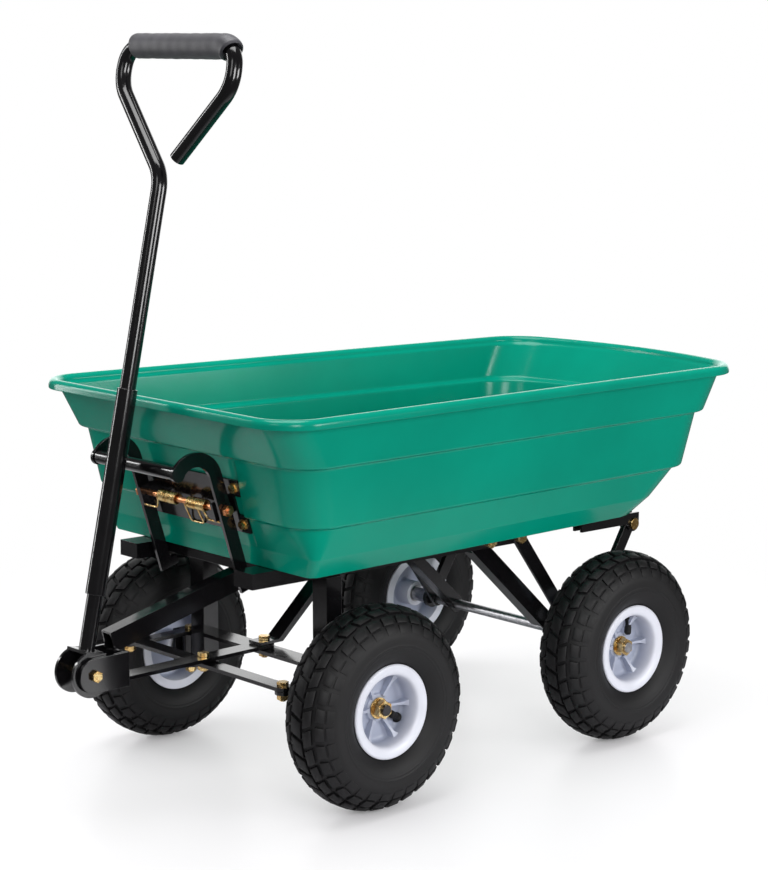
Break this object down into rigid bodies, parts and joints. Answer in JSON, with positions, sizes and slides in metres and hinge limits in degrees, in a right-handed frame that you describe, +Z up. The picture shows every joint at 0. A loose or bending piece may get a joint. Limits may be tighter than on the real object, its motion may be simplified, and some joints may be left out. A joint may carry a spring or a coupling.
{
  "type": "tipping dump cart",
  "caption": "Tipping dump cart with a stepped moulded tray, a sprung release latch, a linked front steering axle, air tyres and a folding pull handle with a foam grip.",
  "frame": {"origin": "on the ground under the middle of the box around the cart", "axes": "+X is the cart left, -Y the handle end, +Z up"},
  "size_m": [0.516, 1.0371, 0.9527],
  "materials": {
    "green_polyethylene": "rotationally moulded green polyethylene with a soft gloss",
    "black_powder_coat": "glossy black powder coat on steel",
    "yellow_zinc": "yellow passivated zinc plate",
    "bright_steel": "bright zinc plated steel",
    "spring_wire": "oil tempered spring wire with a copper tint",
    "foam_grip": "soft closed cell foam with a fine ribbed skin",
    "tyre_rubber": "block tread air tyre",
    "white_rim": "white moulded rim with a satin gloss"
  },
  "bodies": {
    "chassis": {"side_rail_left": "black_powder_coat", "side_rail_right": "black_powder_coat", "latch_crossbar": "black_powder_coat", "rear_crossbar": "black_powder_coat", "bolster_plate": "black_powder_coat", "kingpin_post_left": "black_powder_coat", "kingpin_post_right": "black_powder_coat", "axle_tie_plate": "black_powder_coat", "centre_brace": "black_powder_coat", "rear_brace_left": "black_powder_coat", "rear_brace_right": "black_powder_coat", "rear_strut_left": "black_powder_coat", "rear_strut_right": "black_powder_coat", "hinge_post_left": "black_powder_coat", "hinge_post_right": "black_powder_coat", "rear_axle_shaft": "bright_steel", "rear_axle_nuts": "yellow_zinc", "kingpins": "yellow_zinc", "pivot_bolts": "yellow_zinc", "frame_bolts": "yellow_zinc"},
    "tray": {"tray": "green_polyethylene", "hinge_brackets": "black_powder_coat", "hinge_pins": "yellow_zinc", "latch_bracket": "black_powder_coat", "latch_bracket_bolts": "yellow_zinc", "latch_rod": "yellow_zinc"},
    "latch_handle": {"latch_arm_left": "black_powder_coat", "latch_arm_right": "black_powder_coat", "latch_grab_tube": "black_powder_coat", "latch_spring": "spring_wire"},
    "drawbar": {"drawbar_lower_bar": "black_powder_coat", "drawbar_upper_beam": "black_powder_coat", "drawbar_clevis": "black_powder_coat", "handle_bolt": "yellow_zinc"},
    "tie_bar": {"tie_bar": "black_powder_coat", "tie_bar_bolts": "yellow_zinc"},
    "handle": {"handle_yoke": "black_powder_coat", "handle_sleeve": "black_powder_coat", "handle_loop": "black_powder_coat", "handle_grip": "foam_grip"},
    "knuckle_left": {"knuckle_left": "black_powder_coat", "front_nuts_left": "yellow_zinc"},
    "knuckle_right": {"knuckle_right": "black_powder_coat", "front_nuts_right": "yellow_zinc"},
    "wheel_front_left": {"tyre_front_left": "tyre_rubber", "rim_front_left": "white_rim", "bearings_front_left": "bright_steel"},
    "wheel_front_right": {"tyre_front_right": "tyre_rubber", "rim_front_right": "white_rim", "bearings_front_right": "bright_steel"},
    "wheel_rear_left": {"tyre_rear_left": "tyre_rubber", "rim_rear_left": "white_rim", "bearings_rear_left": "bright_steel"},
    "wheel_rear_right": {"tyre_rear_right": "tyre_rubber", "rim_rear_right": "white_rim", "bearings_rear_right": "bright_steel"}
  },
  "joints": [
    {"name": "tray_tip", "type": "hinge", "parent": "chassis", "child": "tray", "pos_m": [0, 0.32955, 0.27673], "axis": [-1, 0, 0], "range_deg": [0, 75]},
    {"name": "latch_release", "type": "hinge", "parent": "tray", "child": "latch_handle", "pos_m": [0, -0.33244, 0.37625], "axis": [-1, 0, 0], "range_deg": [0, 6], "stiffness_Nm_per_rad": 3, "springref_deg": -22.92},
    {"name": "steer", "type": "hinge", "parent": "chassis", "child": "drawbar", "pos_m": [0, -0.20506, 0.168], "axis": [0, 0, 1], "range_deg": [-15, 15]},
    {"name": "tie_bar_swing", "type": "hinge", "parent": "drawbar", "child": "tie_bar", "pos_m": [0, -0.30506, 0.165], "axis": [0, 0, 1], "range_deg": [-15.5, 15.5]},
    {"name": "knuckle_left_turn", "type": "hinge", "parent": "chassis", "child": "knuckle_left", "pos_m": [0.158, -0.20506, 0.13], "axis": [0, 0, 1], "range_deg": [-15.5, 15.5]},
    {"name": "knuckle_right_turn", "type": "hinge", "parent": "chassis", "child": "knuckle_right", "pos_m": [-0.158, -0.20506, 0.13], "axis": [0, 0, 1], "range_deg": [-15.5, 15.5]},
    {"name": "handle_fold", "type": "hinge", "parent": "drawbar", "child": "handle", "pos_m": [0, -0.49006, 0.184], "axis": [1, 0, 0], "range_deg": [0, 112]},
    {"name": "wheel_front_left_spin", "type": "hinge", "parent": "knuckle_left", "child": "wheel_front_left", "pos_m": [0.215, -0.20506, 0.13], "axis": [1, 0, 0], "continuous": true},
    {"name": "wheel_front_right_spin", "type": "hinge", "parent": "knuckle_right", "child": "wheel_front_right", "pos_m": [-0.215, -0.20506, 0.13], "axis": [1, 0, 0], "continuous": true},
    {"name": "wheel_rear_left_spin", "type": "hinge", "parent": "chassis", "child": "wheel_rear_left", "pos_m": [0.215, 0.23694, 0.13], "axis": [1, 0, 0], "continuous": true},
    {"name": "wheel_rear_right_spin", "type": "hinge", "parent": "chassis", "child": "wheel_rear_right", "pos_m": [-0.215, 0.23694, 0.13], "axis": [1, 0, 0], "continuous": true}
  ],
  "couplings": [
    {"joint": "tie_bar_swing", "follows": "steer", "ratio": -1},
    {"joint": "knuckle_left_turn", "follows": "steer", "ratio": 1},
    {"joint": "knuckle_right_turn", "follows": "steer", "ratio": 1}
  ]
}
